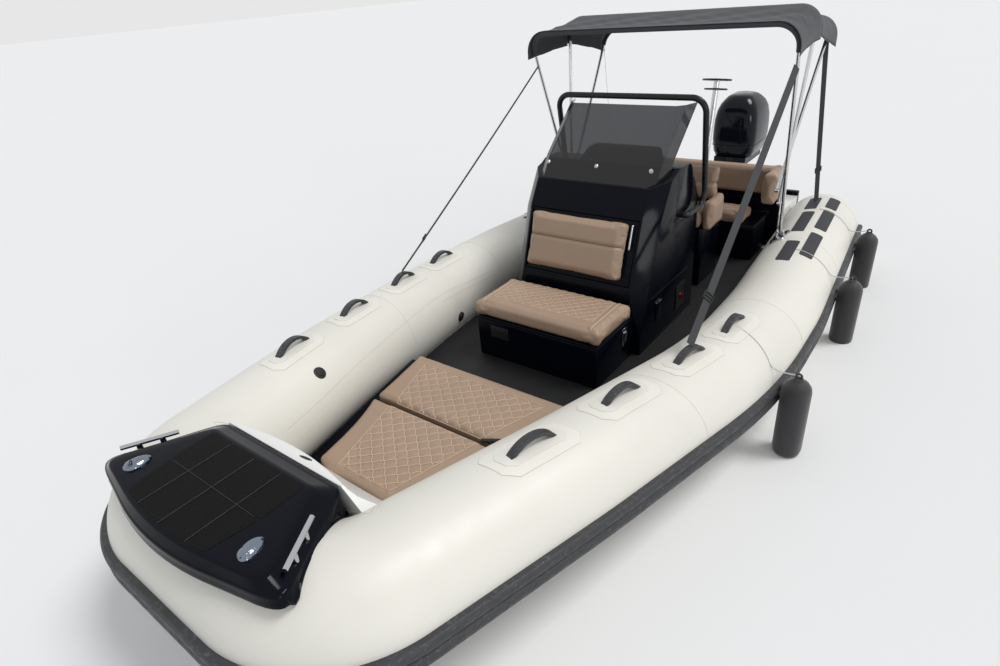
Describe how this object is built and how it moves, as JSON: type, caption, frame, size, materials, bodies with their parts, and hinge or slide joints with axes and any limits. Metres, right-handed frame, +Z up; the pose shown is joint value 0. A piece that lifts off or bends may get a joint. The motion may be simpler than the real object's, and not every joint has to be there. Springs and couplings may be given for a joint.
{
  "type": "rigid inflatable boat with outboard engine",
  "caption": "Rigid inflatable boat with a console, sun pads, seats, folding canopy, tow pole and tilting outboard engine, afloat.",
  "frame": {"origin": "on the centreline amidships, at the waterline", "axes": "+Z up, bow towards -Y, port towards +X"},
  "size_m": [2.9486, 6.3303, 2.7758],
  "materials": {
    "tube_skin": "cream coated fabric, slight sheen",
    "black_rubber": "black moulded rubber",
    "hull_gelcoat": "white gelcoat",
    "white_gelcoat": "white gelcoat",
    "black_gelcoat": "gloss black gelcoat",
    "polished_steel": "polished stainless steel",
    "upholstery": "tan leatherette",
    "smoked_screen": "smoked acrylic",
    "black_tube": "black coated tube",
    "black_plastic": "black moulded plastic",
    "engine_paint": "black engine paint",
    "engine_cowl": "gloss black cowling",
    "engine_block": "plain block",
    "propeller_metal": "stainless propeller",
    "canopy_tube": "stainless tube",
    "canopy_cloth": "dark grey canvas",
    "grey_webbing": "grey webbing",
    "black_webbing": "black webbing",
    "fender_skin": "black inflated vinyl"
  },
  "bodies": {
    "root": {"tube": "tube_skin", "rub_strake": "black_rubber", "hull": "hull_gelcoat", "transom": "black_gelcoat", "aft_deck": "black_gelcoat", "grab_handles_port": "black_rubber", "grab_handles_starboard": "black_rubber", "bow_step": "black_gelcoat", "bow_upstand": "white_gelcoat", "nav_lights": "polished_steel", "bow_cleats": "polished_steel", "bow_locker": "black_gelcoat", "sunpad_front": "upholstery", "front_seat_base": "black_gelcoat", "console": "black_gelcoat", "windscreen": "smoked_screen", "screen_hoop": "black_tube", "throttle": "black_plastic", "helm_seat_base": "black_gelcoat", "helm_seat_cushion": "upholstery", "helm_seat_bolsters": "upholstery", "helm_backrest": "upholstery", "helm_seat_frame": "black_gelcoat", "bench_base": "black_gelcoat", "bench_cushion": "upholstery", "bench_backrest": "upholstery", "tow_pole": "black_tube", "engine_bracket": "engine_paint", "canopy_mounts": "black_plastic", "canopy_straps_front": "grey_webbing", "canopy_straps_rear": "black_webbing", "towing_eyes": "polished_steel", "fenders": "fender_skin"},
    "sunpad_lid": {"sunpad_lid": "black_gelcoat", "sunpad_aft": "upholstery"},
    "front_seat": {"front_seat_lid": "black_gelcoat", "front_seat_cushion": "upholstery"},
    "console_door": {"console_door": "black_gelcoat", "front_backrest": "upholstery", "door_handle": "polished_steel"},
    "steering_wheel": {"steering_wheel": "black_plastic"},
    "engine_swivel": {"engine_swivel": "engine_paint"},
    "engine": {"engine_leg": "engine_paint", "engine_cowling": "engine_cowl", "powerhead": "engine_block"},
    "propeller": {"propeller": "propeller_metal"},
    "canopy_front": {"canopy_bow_front": "canopy_tube", "canopy_front_panel": "canopy_cloth"},
    "canopy_middle": {"canopy_bow_middle": "canopy_tube", "canopy_rear_panel": "canopy_cloth"},
    "canopy_rear": {"canopy_bow_rear": "canopy_tube"}
  },
  "joints": [
    {"name": "sunpad_lift", "type": "hinge", "parent": "root", "child": "sunpad_lid", "pos_m": [0, -1.255, 0.4253], "axis": [1, 0, 0], "range_deg": [0, 60]},
    {"name": "seat_lift", "type": "hinge", "parent": "root", "child": "front_seat", "pos_m": [0, 0.075, 0.545], "axis": [-1, 0, 0], "range_deg": [0, 45]},
    {"name": "door_swing", "type": "hinge", "parent": "root", "child": "console_door", "pos_m": [-0.3875, 0.13839, 0.65729], "axis": [0, 0.3277, 0.9448], "range_deg": [-80, 0]},
    {"name": "wheel_turn", "type": "hinge", "parent": "root", "child": "steering_wheel", "pos_m": [-0.17, 0.91112, 1.11146], "axis": [0, 0.8575, 0.5145], "range_deg": [-540, 540]},
    {"name": "engine_tilt", "type": "hinge", "parent": "root", "child": "engine_swivel", "pos_m": [0, 2.975, 0.5], "axis": [1, 0, 0], "range_deg": [0, 45]},
    {"name": "engine_steer", "type": "hinge", "parent": "engine_swivel", "child": "engine", "pos_m": [0, 3.075, 0.4], "axis": [0, 0, 1], "range_deg": [-30, 30]},
    {"name": "propeller_spin", "type": "hinge", "parent": "engine", "child": "propeller", "pos_m": [0, 3.44, -0.455], "axis": [0, 1, 0], "continuous": true},
    {"name": "canopy_fold", "type": "hinge", "parent": "root", "child": "canopy_front", "pos_m": [0, 1.64, 0.6], "axis": [1, 0, 0], "range_deg": [-68, 0], "deforming": ["canopy_straps_front", "canopy_straps_rear"]},
    {"name": "canopy_middle_fold", "type": "hinge", "parent": "canopy_front", "child": "canopy_middle", "pos_m": [0, 1.55747, 0.84655], "axis": [1, 0, 0], "range_deg": [0, 19], "deforming": ["canopy_front_panel"]},
    {"name": "canopy_rear_fold", "type": "hinge", "parent": "canopy_middle", "child": "canopy_rear", "pos_m": [0, 1.56626, 0.93612], "axis": [1, 0, 0], "range_deg": [0, 22], "deforming": ["canopy_rear_panel"]}
  ],
  "couplings": [
    {"joint": "wheel_turn", "follows": "engine_steer", "ratio": 18},
    {"joint": "canopy_middle_fold", "follows": "canopy_fold", "ratio": -0.2794},
    {"joint": "canopy_rear_fold", "follows": "canopy_fold", "ratio": -0.3235}
  ]
}
